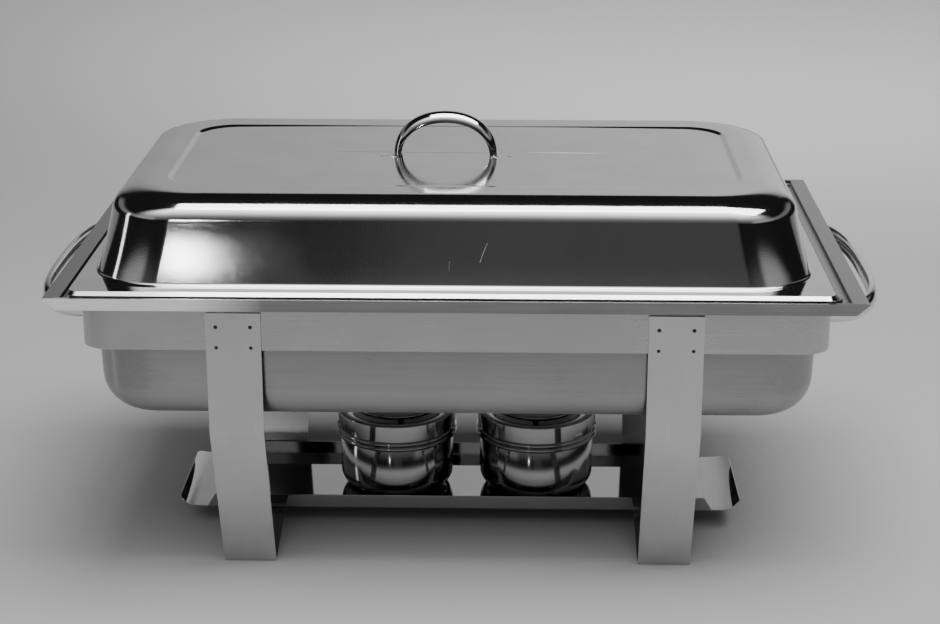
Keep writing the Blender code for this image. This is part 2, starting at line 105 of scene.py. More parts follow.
# Pans and lid
FLANGE = tuple((high("lid_shell", axis) - low("lid_shell", axis)) / 2 for axis in (0, 1))
FLANGE_CORNER = 9.0 * MM
PAN_CORNER = 44.0 * MM
PAN_LIP_DROP = 1.5 * MM
PAN_SHADE_REACH = 2.0 * MM                    # upright faces this near the top are painted near-black: painted shade of the gap under the lid
PAN_BEND = 2.0 * MM                         # from the flange into the wall
WATER_PAN = dict(body=(256.0 * MM, 154.0 * MM), draft=2.5 * MM, floor_radius=26.0 * MM)
FOOD_PAN = dict(body=(250.5 * MM, 148.0 * MM), draft=4.0 * MM, floor_radius=18.0 * MM)
LID_X = (low("lid_shell", 0) + high("lid_shell", 0)) / 2
LID_LIP_BOTTOM = low("lid_shell", 2)
LID_FLANGE_TOP = LID_LIP_BOTTOM + 2.6 * MM
LID_FOOT = (251.9 * MM, 146.2 * MM)         # half sizes at the foot of the wall
LID_FOOT_RADIUS = 3.0 * MM                  # bend from the wall to the flange
LID_BEVEL = 2.4 * MM                        # sloping edge round the flange
LID_LEAN = (16.2, 10.5)                     # degrees that the wall leans inwards, at its foot and top
LID_CROWN_RADII = (15.0 * MM, 36.0 * MM)    # the crown is tighter next to the wall than next to the top
LID_CROWN_CHANGE = 62.0                     # and changes from one to the other at this angle
LID_TOP = high("lid_shell", 2)
LID_CORNER = 48.0 * MM
PANEL = (202.0 * MM, 90.0 * MM)
PANEL_DROP = 1.5 * MM
PANEL_SLOPE = 5.0 * MM
PANEL_CORNER = 26.0 * MM
PANEL_RINGS = (3.0 * MM, 15.0 * MM, 35.0 * MM, 60.0 * MM, 82.0 * MM)

# Scratches on the front wall: (x, z) at both ends, and width
SCRATCHES = (((17.2 * MM, 239.5 * MM), (21.3 * MM, 250.5 * MM), 0.30 * MM),
             ((21.3 * MM, 250.5 * MM), (22.5 * MM, 252.5 * MM), 0.18 * MM),
             ((-4.0 * MM, 233.5 * MM), (-3.9 * MM, 240.0 * MM), 0.12 * MM))
SCRATCH_LIFT = 0.06 * MM                    # keeps a scratch clear of the wall it lies on

# Handles
LID_HANDLE_X = (low("lid_handle", 0) + high("lid_handle", 0)) / 2
SIDE_HANDLE_Z = (low("side_handle_right", 2) + high("side_handle_right", 2)) / 2
LID_GRIP = dict(half=38.5 * MM, rise=33.4 * MM, fullness=2.15, width=16.0 * MM, depth=7.5 * MM,
                tab=(10.0 * MM, 9.0 * MM), steps=64, curl=0.9 * MM)
SIDE_GRIP = dict(half=113.2 * MM, rise=47.6 * MM, fullness=2.86, width=14.0 * MM, depth=6.0 * MM,
                 tab=(9.0 * MM, 10.0 * MM), steps=96)
ARCH_FOOT = 0.7 * MM
TAB_CROWN = 0.15 * MM
TAB_BEND = 1.6 * MM

# Burners
BURNERS = {side: (low("burner_cup_" + side, 0) + high("burner_cup_" + side, 0)) / 2
           for side in ("left", "right")}
CUP_RADIUS = 44.0 * MM
CUP_BOTTOM = low("burner_cup_left", 2)
CUP_TOP = high("burner_cup_left", 2)
CUP_FLOOR_RADIUS = 13.0 * MM
COVER_RADIUS = 46.0 * MM
COVER_BEAD = 46.9 * MM
COVER_WAIST = COVER_RADIUS - 0.4 * MM       # between and beside the two beads
COVER_EDGE = 1.4 * MM
COVER_BOTTOM = low("burner_cover_left", 2)
COVER_SHOULDER = COVER_BOTTOM + 7.6 * MM
COVER_TOP = high("burner_cover_left", 2)
FLAME_HOLE = 28.0 * MM
DAMPER_RADIUS = 32.8 * MM
DAMPER_EDGE = 1.2 * MM
DAMPER_BOTTOM = low("burner_damper_left", 2)
DAMPER_TOP = high("burner_damper_left", 2)
RIVET_Y = 39.5 * MM
RIVET_SHANK = 2.0 * MM
RIVET_HEAD = 3.6 * MM
RIVET_TAIL = 3.2 * MM
EAR_THICK = 1.0 * MM
EAR_HALF_WIDTH = 5.0 * MM
EAR_HALF_LENGTH = 9.0 * MM
EAR_OFFSET = 3.0 * MM

# Studio
FLOOR_RADIUS = 9.0
PAPER_SHADE = 0.42
CAMERA_PLACE = (0.0408, -1.4471, 0.6394)
CAMERA_DOWN = 18.466                        # degrees below the horizon
CAMERA_TURN = 1.334
CAMERA_LENS = 76.04                         # on a sensor 36 wide


# ---------------------------------------------------------------- materials

LEFT_HIGHLIGHT_X = (-0.20, -0.13)                   # the painted highlight on the rail fades out between these
GRAIN_MAP = "grain"      # UV map whose U follows a piece's rows; the brushing runs along or across them


BRUSH_TURN = 0.25        # quarter turn: the highlights spread across the rows
WAVE_SCALE = 9.0
BLOTCH = 0.06            # how much the clouds change the tone
SMUDGE = 0.05            # and the roughness


def steel(name, shade, roughness, grain, grain_depth=0.0, streak=0.0, wave=0.0, anisotropy=0.0,
          left_highlight=1.0):
    """Bare steel. grain is cycles per metre along X, Y and Z; grain_depth and wave are in metres.

    streak is how much the grain changes the tone, and the last argument is a painted highlight: how
    much brighter the base colour is painted at the steel's left end, in place of a lamp's reflection.
    """
    material = bpy.data.materials.new(name)
    material.use_nodes = True
    tree = material.node_tree
    nodes, links = tree.nodes, tree.links
    shader = nodes["Principled BSDF"]
    shader.inputs["Metallic"].default_value = 1.0
    place = nodes.new("ShaderNodeTexCoord")

    def noise(scale, size, detail):
        stretch = nodes.new("ShaderNodeMapping")
        stretch.inputs["Scale"].default_value = scale
        links.new(place.outputs["Object"], stretch.inputs["Vector"])
        texture = nodes.new("ShaderNodeTexNoise")
        texture.inputs["Scale"].default_value = size
        texture.inputs["Detail"].default_value = detail
        texture.inputs["Roughness"].default_value = 0.55
        links.new(stretch.outputs["Vector"], texture.inputs["Vector"])
        return texture.outputs["Fac"]

    def spread(value, low_out, high_out, low_in=0.3, high_in=0.7):
        remap = nodes.new("ShaderNodeMapRange")
        remap.inputs["From Min"].default_value = low_in
        remap.inputs["From Max"].default_value = high_in
        remap.inputs["To Min"].default_value = low_out
        remap.inputs["To Max"].default_value = high_out
        links.new(value, remap.inputs["Value"])
        return remap.outputs["Result"]

    def product(first, second):
        maths = nodes.new("ShaderNodeMath")
        maths.operation = "MULTIPLY"
        links.new(first, maths.inputs[0])
        links.new(second, maths.inputs[1])
        return maths.outputs["Value"]

    fine = noise(grain, 1.0, 3.0)
    cloud = noise((1, 1, 1), 22.0, 3.0)
    tone = product(spread(fine, 1 - streak, 1 + streak), spread(cloud, 1 - BLOTCH, 1 + BLOTCH))
    # painted highlight: the base colour brightens towards the left end
    if left_highlight != 1.0:
        sides = nodes.new("ShaderNodeSeparateXYZ")
        links.new(place.outputs["Object"], sides.inputs["Vector"])
        tone = product(tone, spread(sides.outputs["X"], left_highlight, 1.0, *LEFT_HIGHLIGHT_X))
    tint = nodes.new("ShaderNodeMix")
    tint.data_type = "RGBA"
    tint.inputs["A"].default_value = (0, 0, 0, 1)
    brightest = shade * 1.25 * left_highlight
    tint.inputs["B"].default_value = (brightest, brightest, brightest, 1)
    scaled = nodes.new("ShaderNodeMath")
    scaled.operation = "MULTIPLY"
    scaled.inputs[1].default_value = shade / brightest
    links.new(tone, scaled.inputs[0])
    links.new(scaled.outputs["Value"], tint.inputs["Factor"])
    links.new(tint.outputs["Result"], shader.inputs["Base Color"])
    rub = product(spread(cloud, roughness * (1 - SMUDGE), roughness * (1 + SMUDGE * 3)),
                  spread(fine, 0.9, 1.1))
    links.new(rub, shader.inputs["Roughness"])
    normal = None
    for value, depth in ((noise((1, 1, 1), WAVE_SCALE, 1.0), wave), (fine, grain_depth)):
        if depth:
            bump = nodes.new("ShaderNodeBump")
            bump.inputs["Strength"].default_value = 1.0
            bump.inputs["Distance"].default_value = depth
            links.new(value, bump.inputs["Height"])
            if normal:
                links.new(normal, bump.inputs["Normal"])
            normal = bump.outputs["Normal"]
    if normal:
        links.new(normal, shader.inputs["Normal"])
    if anisotropy:
        shader.inputs["Anisotropic"].default_value = anisotropy
        shader.inputs["Anisotropic Rotation"].default_value = BRUSH_TURN
        direction = nodes.new("ShaderNodeTangent")
        direction.direction_type = "UV_MAP"
        direction.uv_map = GRAIN_MAP
        links.new(direction.outputs["Tangent"], shader.inputs["Tangent"])
    return material


def paper(name, shade):
    """Matt seamless studio paper for the floor."""
    material = bpy.data.materials.new(name)
    material.use_nodes = True
    nodes, links = material.node_tree.nodes, material.node_tree.links
    shader = nodes["Principled BSDF"]
    shader.inputs["Roughness"].default_value = 0.75
    place = nodes.new("ShaderNodeTexCoord")
    texture = nodes.new("ShaderNodeTexNoise")
    texture.inputs["Scale"].default_value = 260.0
    texture.inputs["Detail"].default_value = 3.0
    ramp = nodes.new("ShaderNodeValToRGB")
    for element, value in zip(ramp.color_ramp.elements, (shade * 0.98, shade * 1.02)):
        element.color = (value, value, value, 1)
    links.new(place.outputs["Object"], texture.inputs["Vector"])
    links.new(texture.outputs["Fac"], ramp.inputs["Fac"])
    links.new(ramp.outputs["Color"], shader.inputs["Base Color"])
    return material


# Depths in metres, written as they go into the shader
LID_STEEL = steel("lid_polish", 0.67, 0.074, grain=(900, 900, 900), grain_depth=0.00002, wave=0.0001)
PAN_STEEL = steel("pan_satin", 0.34, 0.30, grain=(12, 900, 900), streak=0.06, grain_depth=0.000006,
                  wave=0.0002, anisotropy=0.95)
FRONT_RAIL_STEEL = steel("rail_brushed_front", 0.22, 0.18, grain=(10, 1400, 1400), streak=0.16,
                         # the front rail's left end gets a painted highlight, standing in for the left lamp's
                         # reflection
                         grain_depth=0.000006, wave=0.0001, anisotropy=0.75, left_highlight=6.0)
BACK_RAIL_STEEL = steel("rail_brushed_back", 0.22, 0.18, grain=(10, 1400, 1400), streak=0.16,
                        grain_depth=0.000006, wave=0.0001, anisotropy=0.75)
# Same brushed steel as the long rails but lighter: the long rails' darker shade above is painted shade for
# the shaded floor their fascias reflect
SHORT_RAIL_STEEL = steel("rail_brushed_short", 0.33, 0.20, grain=(1400, 10, 1400), streak=0.12,
                         grain_depth=0.000006, wave=0.0001, anisotropy=0.75)
SKIRT_STEEL = steel("skirt_brushed", 0.48, 0.24, grain=(14, 14, 900), streak=0.05,
                    grain_depth=0.000006, wave=0.0002, anisotropy=0.8)
LEG_STEEL = steel("leg_satin", 0.54, 0.20, grain=(900, 20, 20), streak=0.03, grain_depth=0.000002,
                  wave=0.0001)
SHELF_STEEL = steel("shelf_bright", 0.44, 0.05, grain=(20, 900, 900), streak=0.03, wave=0.0002)
GRIP_STEEL = steel("grip_polish", 0.68, 0.08, grain=(300, 300, 300), streak=0.02)
BURNER_STEEL = steel("burner_spun", 0.29, 0.12, grain=(40, 40, 1500), streak=0.06,
                     grain_depth=0.000004, wave=0.0001, anisotropy=0.8)
SCRATCH_STEEL = steel("scratch_bright", 0.75, 0.5, grain=(900, 900, 900), streak=0.2)
# Near-black painted shade for the pans' upright lip faces, standing in for the shadowed gap under the lid's
# edge
GAP_SHADE_STEEL = steel("pan_rim_painted_shade", 0.04, 0.30, grain=(60, 60, 900), streak=0.2)
WELD_STEEL = steel("weld_scorched", 0.05, 0.40, grain=(900, 900, 900), streak=0.3)


# ---------------------------------------------------------------- outlines

def arc(centre, radius, start, end, steps):
    """Points (u, v) on a circle from one angle to another, in degrees."""
    points = []
    for step in range(steps + 1):
        angle = math.radians(start + (end - start) * step / steps)
        points.append((centre[0] + radius * math.cos(angle), centre[1] + radius * math.sin(angle)))
    return points


def filleted(points, radius, steps=4):
    """Polyline whose inner corners are rounded by the given radius."""
    points = [Vector(point) for point in points]
    result = [points[0]]
    for before, corner, after in zip(points, points[1:], points[2:]):
        towards = (before - corner).normalized()
        away = (after - corner).normalized()
        half = towards.angle(away) / 2
        reach = radius / math.tan(half)
        centre = corner + (towards + away).normalized() * radius / math.sin(half)
        first = corner + towards * reach - centre
        last = corner + away * reach - centre
        for step in range(steps + 1):
            result.append(centre + first.lerp(last, step / steps).normalized() * radius)
    result.append(points[-1])
    return result


def rounded_rectangle(half_x, half_y, radius, z, steps=20, sides=1):
    """Counter-clockwise loop of a rectangle with round corners and some points along its sides."""
    corners = []
    for quarter in range(4):
        sign_x = 1 if quarter in (0, 3) else -1
        sign_y = 1 if quarter in (0, 1) else -1
        centre = (sign_x * (half_x - radius), sign_y * (half_y - radius))
        corners.append([Vector((x, y, z)) for x, y in
                        arc(centre, radius, 90 * quarter, 90 * quarter + 90, steps)])
    points = []
    for quarter, corner in enumerate(corners):
        points += corner
        following = corners[(quarter + 1) % 4][0]
        points += [corner[-1].lerp(following, step / (sides + 1)) for step in range(1, sides + 1)]
    return points


# ---------------------------------------------------------------- piece makers

def finish_piece(obj, material, body, nodes):
    if not obj.data.materials:
        obj.data.materials.append(material)
    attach(obj, body)
    if nodes:
        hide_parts(*nodes)
    return obj


def piece_from(name, mesh_data, smooth_angle=40):
    mesh = bpy.data.meshes.new(name)
    mesh_data.to_mesh(mesh)
    mesh_data.free()
    mesh.shade_smooth()
    mesh.set_sharp_from_angle(angle=math.radians(smooth_angle))
    obj = bpy.data.objects.new(name, mesh)
    bpy.context.scene.collection.objects.link(obj)
    return obj


def surface(name, rows, closed_rows=False, fill_first=False, fill_last=False, flip=False):
    """Open surface through rows of points; a closed row is a loop, and the last loop may be filled."""
    mesh_data = bmesh.new()
    along = mesh_data.loops.layers.uv.new(GRAIN_MAP)
    grid = [[mesh_data.verts.new(point) for point in row] for row in rows]
    count = len(rows[0])
    spans = count if closed_rows else count - 1
    for high_v, (row, following) in enumerate(zip(grid, grid[1:]), 1):
        for index in range(spans):
            after = (index + 1) % count
            face = mesh_data.faces.new((row[index], row[after], following[after], following[index]))
            corners = ((index, high_v - 1), (index + 1, high_v - 1), (index + 1, high_v), (index, high_v))
            for loop, (u, v) in zip(face.loops, corners):
                loop[along].uv = (u / spans, v / (len(rows) - 1))
    if fill_first:
        mesh_data.faces.new(reversed(grid[0]))
    if fill_last:
        mesh_data.faces.new(grid[-1])
    if flip:
        bmesh.ops.reverse_faces(mesh_data, faces=mesh_data.faces)
    return piece_from(name, mesh_data)


def thicken(obj, thickness, even=True):
    solidify = obj.modifiers.new("thickness", "SOLIDIFY")
    solidify.thickness = thickness
    solidify.offset = -1.0
    solidify.use_even_offset = even
    solidify.use_quality_normals = True
    return obj


def soften(obj, width, segments=2, angle=50):
    """Breaks the sharp edges and keeps flat faces flat in the shading."""
    bevel = obj.modifiers.new("edges", "BEVEL")
    bevel.width = width
    bevel.segments = segments
    bevel.limit_method = "ANGLE"
    bevel.angle_limit = math.radians(angle)
    weighted = obj.modifiers.new("normals", "WEIGHTED_NORMAL")
    weighted.mode = "FACE_AREA"
    weighted.keep_sharp = True
    return obj


def turned(name, profile, place, thickness=0.0, steps=96):
    """Turned piece: a profile (radius, z) from its top down its outer side."""
    rows = []
    for radius, z in profile:
        angles = [2 * math.pi * step / steps for step in range(steps)]
        radius = max(radius, PIN_HOLE)
        rows.append([Vector((place[0] + radius * math.cos(angle), place[1] + radius * math.sin(angle),
                             place[2] + z)) for angle in reversed(angles)])
    piece = surface(name, rows, closed_rows=True, fill_first=profile[0][0] == 0,
                    fill_last=profile[-1][0] == 0)
    if thickness:
        thicken(piece, thickness)
    return piece


# ---------------------------------------------------------------- rim, skirt and legs

def rail_path():
    """Outer skin (x, y, z) of a rail from the ledge over the top to the hem."""
    ledge = (SKIRT[0] + GAP, SKIRT[1] + GAP)
    corners = [(*ledge, LEDGE_TOP), (*RAIL_INNER, LEDGE_TOP), (*RAIL_INNER, RAIL_TOP),
               (*RAIL_OUTER, RAIL_TOP), (*RAIL_FOOT, RAIL_BOTTOM)]
    return [Vector(corner) for corner in corners]


def make_rail(name, node, along_x, side, material):
    rows = []
    for end in (-1, 1):
        row = []
        for x, y, z in rail_path():
            if along_x:
                row.append(Vector((end * (x - MITRE_GAP), side * y, z)))
            else:
                row.append(Vector((side * x, end * (y - MITRE_GAP), z)))
        rows.append(filleted(row, RAIL_BEND))
    flip = along_x == (side > 0)
    rail = surface(name, rows, flip=flip)
    thicken(rail, RAIL_SHEET)
    soften(rail, 0.2 * MM)
    finish_piece(rail, material, "frame", [node])


def make_skirt():
    rows = [rounded_rectangle(*SKIRT, SKIRT_CORNER, z) for z in (SKIRT_BOTTOM, LEDGE_TOP)]
    skirt = surface("skirt_band", rows, closed_rows=True)
    thicken(skirt, SKIRT_WALL)
    soften(skirt, 0.2 * MM)
    finish_piece(skirt, SKIRT_STEEL, "frame", ["frame_skirt"])


def leg_path():
    """Outer skin of one leg strip in (y, z), from the front top round the feet to the back top."""
    cross = SHELF_BOTTOM - GAP - LEG_THICK
    half = [(-LEG_FACE, LEG_TOP), (-LEG_FACE, KNEE_Z), (-FOOT_OUTER_Y, 0.0), (-FOOT_INNER_Y, 0.0),
            (-CROSS_Y, cross)]
    path = filleted(half + [(-y, z) for y, z in reversed(half)], LEG_BEND)
    for point in path:
        if abs(point.y - KNEE_Z) < 0.3 * MM:
            point.x += math.copysign(KNEE_RIDGE, point.x)
    return path


def make_leg(side, sign):
    edges = (sign * LEG_X - LEG_WIDTH / 2, sign * LEG_X + LEG_WIDTH / 2)
    rows = [[Vector((x, y, z)) for y, z in leg_path()] for x in edges]
    leg = surface("leg_strip_" + side, rows)
    thicken(leg, LEG_THICK)
    soften(leg, 0.3 * MM)
    finish_piece(leg, LEG_STEEL, "frame", ["leg_" + side])


def make_welds(side, sign):
    """Small scorched spot-weld marks, domed, on the faces of one leg strip."""
    mesh_data = bmesh.new()
    for facing in (-1, 1):
        for column in WELD_COLUMNS:
            for z in WELD_ROWS:
                rings = []
                for radius, height in ((WELD_RADIUS, 0.0), (WELD_RADIUS * 0.7, WELD_HEIGHT)):
                    ring = arc((sign * LEG_X + column, z), radius, 0, 360, 16)[:-1]
                    rings.append([mesh_data.verts.new((u, facing * (LEG_FACE + height), v)) for u, v in ring])
                for index in range(16):
                    after = (index + 1) % 16
                    mesh_data.faces.new((rings[0][index], rings[0][after], rings[1][after], rings[1][index]))
                mesh_data.faces.new(rings[1])
    bmesh.ops.recalc_face_normals(mesh_data, faces=mesh_data.faces)
    finish_piece(piece_from("weld_marks_" + side, mesh_data, 80), WELD_STEEL, "frame", [])


# ---------------------------------------------------------------- shelf

def wing_row(travel):
    """Place and half width of the shelf's end wing, from its root (0) to its tip (1)."""
    foot = SHELF_LIP_HALF[0]
    x = foot + (WING_END - foot) * travel
    late = min(max(0.0, x - WING_END + WING_CORNER), WING_CORNER)
    half = SHELF_HALF_WIDTH - SHELF_LIP_LEAN - WING_CORNER + math.sqrt(WING_CORNER ** 2 - late ** 2)
    return x, half, SHELF_BOTTOM + WING_RISE * travel ** WING_CURL


def make_shelf():
    steps = 20
    travels = [1 - (1 - step / steps) ** 1.6 for step in range(steps + 1)]
    stations = [wing_row(travel) for travel in travels]
    stations = [(-x, half, z) for x, half, z in reversed(stations)] + stations
    mesh_data = bmesh.new()
    rows = []
    for x, half, z in stations:
        rows.append([mesh_data.verts.new((x, side * half, z)) for side in (-1, 1)])
    for row, following in zip(rows, rows[1:]):
        mesh_data.faces.new((row[1], row[0], following[0], following[1]))
    near, far = rows[steps], rows[steps + 1]
    for side, y in ((0, -SHELF_HALF_WIDTH), (1, SHELF_HALF_WIDTH)):
        lip = [mesh_data.verts.new((x, y, SHELF_LIP_TOP)) for x in (-SHELF_LIP_HALF[1], SHELF_LIP_HALF[1])]
        mesh_data.faces.new((near[side], far[side], lip[1], lip[0]))
    bmesh.ops.recalc_face_normals(mesh_data, faces=mesh_data.faces)
    if sum(face.normal.z for face in mesh_data.faces) > 0:
        bmesh.ops.reverse_faces(mesh_data, faces=mesh_data.faces)
    shelf = piece_from("shelf_sheet", mesh_data)
    thicken(shelf, SHEET)
    soften(shelf, 0.25 * MM, angle=40)
    finish_piece(shelf, SHELF_STEEL, "frame", ["fuel_shelf"])


# ---------------------------------------------------------------- pans and lid

def pan_rows(top, bottom, body, draft, floor_radius):
    """Lower skin of a flanged pan, from the lip round the flange and down to the floor."""
    skin_top = top - SHEET
    lip = (FLANGE[0] - SHEET, FLANGE[1] - SHEET, FLANGE_CORNER - SHEET)
    rows = [rounded_rectangle(*lip, z) for z in (top - PAN_LIP_DROP, skin_top)]
    for x, z in arc((body[0] + PAN_BEND, skin_top - PAN_BEND), PAN_BEND, 90, 180, 8):
        inset = x - body[0]
        rows.append(rounded_rectangle(x, body[1] + inset, PAN_CORNER + inset, z))
    lean = math.degrees(math.atan2(draft, top - bottom))
    centre = (body[0] - draft - floor_radius, bottom + floor_radius)
    for x, z in arc(centre, floor_radius, -lean, -90, 20):
        inset = x - body[0]
        radius = max(PAN_CORNER + inset, 6 * MM)
        rows.append(rounded_rectangle(x, body[1] + inset, radius, z))
    return rows


def make_pan(name, node, body_name, shape):
    """Flanged pan whose upright lip faces are painted near-black, as painted shade of the gap under the lid.
    """
    top = high(node, 2)
    pan = surface(name, pan_rows(top, low(node, 2), **shape), closed_rows=True, fill_last=True, flip=True)
    pan.data.materials.append(PAN_STEEL)
    pan.data.materials.append(GAP_SHADE_STEEL)
    # paint the upright faces near the top with the shade of the gap
    for polygon in pan.data.polygons:
        if polygon.center.z > top - PAN_SHADE_REACH and abs(polygon.normal.z) < 0.1:
            polygon.material_index = 1
    thicken(pan, SHEET)
    soften(pan, 0.15 * MM)
    finish_piece(pan, PAN_STEEL, body_name, [node])


def lid_wall():
    """Pairs (growth of the plan size, height) from the flange up the slightly hollow wall to the crown."""
    foot_lean, top_lean = (math.radians(lean) for lean in LID_LEAN)
    foot_z = LID_FLANGE_TOP + LID_FOOT_RADIUS * (1 - math.sin(foot_lean))
    change = math.radians(LID_CROWN_CHANGE)
    tight, wide = LID_CROWN_RADII
    top_z = LID_TOP - wide * (1 - math.sin(change)) - tight * (math.sin(change) - math.sin(top_lean))
    sweep = (top_z - foot_z) / (math.sin(foot_lean) - math.sin(top_lean))
    bend = arc((LID_FOOT_RADIUS * math.cos(foot_lean), LID_FLANGE_TOP + LID_FOOT_RADIUS),
               LID_FOOT_RADIUS, 270, 180 + LID_LEAN[0], 12)
    wall = arc((sweep * math.cos(foot_lean), foot_z + sweep * math.sin(foot_lean)), sweep,
               180 + LID_LEAN[0], 180 + LID_LEAN[1], 8)
    centre = Vector((wall[-1][0] - tight * math.cos(top_lean), top_z - tight * math.sin(top_lean)))
    shoulder = arc(centre, tight, LID_LEAN[1], LID_CROWN_CHANGE, 20)
    centre -= Vector((math.cos(change), math.sin(change))) * (wide - tight)
    crown = arc(centre, wide, LID_CROWN_CHANGE, 90, 12)
    return bend + wall[1:-1] + shoulder + crown[1:]


def panel_drop(x, y):
    """Depth of the panel under the crown: full near its corners, and less in the middle of its sides."""
    along = min(abs(x) / PANEL[0], 1.0)
    return PANEL_DROP * (0.25 + 0.75 * along ** 3)


def lid_rows():
    """Outer skin of the lid, from its lip over the flange and wall to the panel."""
    bevel = [Vector(pair) for pair in ((0, LID_LIP_BOTTOM), (0, LID_FLANGE_TOP - LID_BEVEL),
                                       (LID_BEVEL, LID_FLANGE_TOP), (3 * LID_BEVEL, LID_FLANGE_TOP))]
    sizes = [(FLANGE[0] - inset, FLANGE[1] - inset, max(FLANGE_CORNER - inset, 2 * MM), z)
             for inset, z in filleted(bevel, 0.15 * MM, 3)]
    for grow, z in lid_wall():
        sizes.append((LID_FOOT[0] + grow, LID_FOOT[1] + grow, LID_CORNER + max(grow, 0.0), z))
    rows = [rounded_rectangle(*size, sides=12) for size in sizes]
    steps = 8
    inner = [(PANEL[0] + PANEL_SLOPE * (1 - step / steps), PANEL[1] + PANEL_SLOPE * (1 - step / steps),
              PANEL_CORNER + PANEL_SLOPE * (1 - step / steps), (1 - math.cos(math.pi * step / steps)) / 2)
             for step in range(steps + 1)]
    inner += [(PANEL[0] - shrink, PANEL[1] - shrink, PANEL_CORNER * (1 - shrink / PANEL[1]), 1.0)
              for shrink in PANEL_RINGS]
    for half_x, half_y, corner, depth in inner:
        row = rounded_rectangle(half_x, half_y, corner, LID_TOP, sides=12)
        for point in row:
            point.z -= depth * panel_drop(point.x, point.y)
        rows.append(row)
    offset = Vector((LID_X, 0, 0))
    return [[point + offset for point in row] for row in rows]


def make_lid():
    lid = surface("lid_skin", lid_rows(), closed_rows=True, fill_last=True)
    thicken(lid, SHEET)
    soften(lid, 0.15 * MM)
    finish_piece(lid, LID_STEEL, "lid", ["lid_shell"])


def make_scratches():
    """Hairline scratches on the lid's front wall, each a sliver lying on the wall."""
    wall = [(LID_FOOT[1] + grow, z) for grow, z in lid_wall()]
    mesh_data = bmesh.new()
    for (x0, z0), (x1, z1), width in SCRATCHES:
        across = Vector((z1 - z0, x0 - x1)).normalized() * width / 2
        corners = []
        for x, z in ((x0 - across.x, z0 - across.y), (x0 + across.x, z0 + across.y),
                     (x1 + across.x, z1 + across.y), (x1 - across.x, z1 - across.y)):
            for (y_low, z_low), (y_high, z_high) in zip(wall, wall[1:]):
                if z_low <= z <= z_high:
                    y = y_low + (y_high - y_low) * (z - z_low) / (z_high - z_low)
                    corners.append(mesh_data.verts.new((x, -y - SCRATCH_LIFT, z)))
                    break
        mesh_data.faces.new(corners)
    bmesh.ops.recalc_face_normals(mesh_data, faces=mesh_data.faces)
    finish_piece(piece_from("lid_scratches", mesh_data), SCRATCH_STEEL, "lid", [])


# ---------------------------------------------------------------- handles

def arch_points(half, rise, fullness, steps):
    """Arch in (u, v) from (-half, 0) over (0, rise) to (half, 0): a superellipse."""
    points = []
    for step in range(steps + 1):
        angle = math.pi * (1 - step / steps)
        u = math.copysign(abs(math.cos(angle)) ** (2 / fullness), math.cos(angle)) * half
        v = max(math.sin(angle), 0.0) ** (2 / fullness) * (rise - ARCH_FOOT) + ARCH_FOOT
        points.append(Vector((u, v)))
    return points


def channel_rows(half, rise, fullness, width, depth, tab, steps, curl=0.0, ribs=16):
    """Rows of a half-round channel bent into an arch, ending in flat tabs that turn outwards."""
    arch = arch_points(half, rise, fullness, steps)
    stations = []
    for index, point in enumerate(arch):
        before, after = arch[max(index - 1, 0)], arch[min(index + 1, steps)]
        along = (after - before).normalized()
        height = math.sin(math.pi * index / steps)
        stations.append((point, Vector((-along.y, along.x)), depth * (0.72 + 0.28 * height), width / 2))
    length, tab_width = tab
    for sign in (-1, 1):
        foot = Vector((sign * half, 0.0))
        flat = [(foot + Vector((sign * TAB_BEND * 0.3, TAB_BEND * 0.5)), Vector((sign * 0.6, 0.8)),
                 width * 0.4),
                (foot + Vector((sign * TAB_BEND, 0.0)), Vector((0.0, 1.0)), tab_width * 0.5),
                (foot + Vector((sign * length * 0.7, 0.0)), Vector((0.0, 1.0)), tab_width * 0.45),
                (foot + Vector((sign * length, curl)), Vector((0.0, 1.0)), tab_width * 0.36)]
        flat = [(point, outward, TAB_CROWN, half_width) for point, outward, half_width in flat]
        stations = stations + flat if sign > 0 else flat[::-1] + stations
    rows = []
    for point, outward, sink, half_width in stations:
        row = []
        for rib in range(ribs + 1):
            angle = math.pi * rib / ribs
            place = point - outward * sink * (1 - math.sin(angle))
            row.append(Vector((place.x, math.cos(angle) * half_width, place.y)))
        rows.append(row)
    return rows


def make_lid_handle():
    lift = LID_TOP - PANEL_DROP + GAP + SHEET + TAB_CROWN
    rows = [[Vector((LID_HANDLE_X + p.x, p.y, lift + p.z)) for p in row]
            for row in channel_rows(**LID_GRIP)]
    grip = surface("lid_grip", rows)
    thicken(grip, SHEET, even=False)
    soften(grip, 0.2 * MM)
    finish_piece(grip, GRIP_STEEL, "lid", ["lid_handle"])


def make_side_handle(side, sign):
    wall = SKIRT[0] + GAP + SHEET + TAB_CROWN
    rows = [[Vector((sign * (wall + p.z), -sign * p.x, SIDE_HANDLE_Z - p.y)) for p in row]
            for row in channel_rows(**SIDE_GRIP)]
    grip = surface("side_grip_" + side, rows)
    thicken(grip, SHEET, even=False)
    soften(grip, 0.2 * MM)
    finish_piece(grip, GRIP_STEEL, "frame", ["side_handle_" + side])


# ---------------------------------------------------------------- burners

def make_cup(side, x):
    profile = [(CUP_RADIUS, CUP_TOP)]
    centre = (CUP_RADIUS - CUP_FLOOR_RADIUS, CUP_BOTTOM + CUP_FLOOR_RADIUS)
    profile += arc(centre, CUP_FLOOR_RADIUS, 0, -90, 16)
    profile.append((0.0, CUP_BOTTOM))
    cup = turned("cup_skin_" + side, profile, (x, 0, 0), SHEET)
    finish_piece(cup, BURNER_STEEL, "burner_cup_" + side, ["burner_cup_" + side])


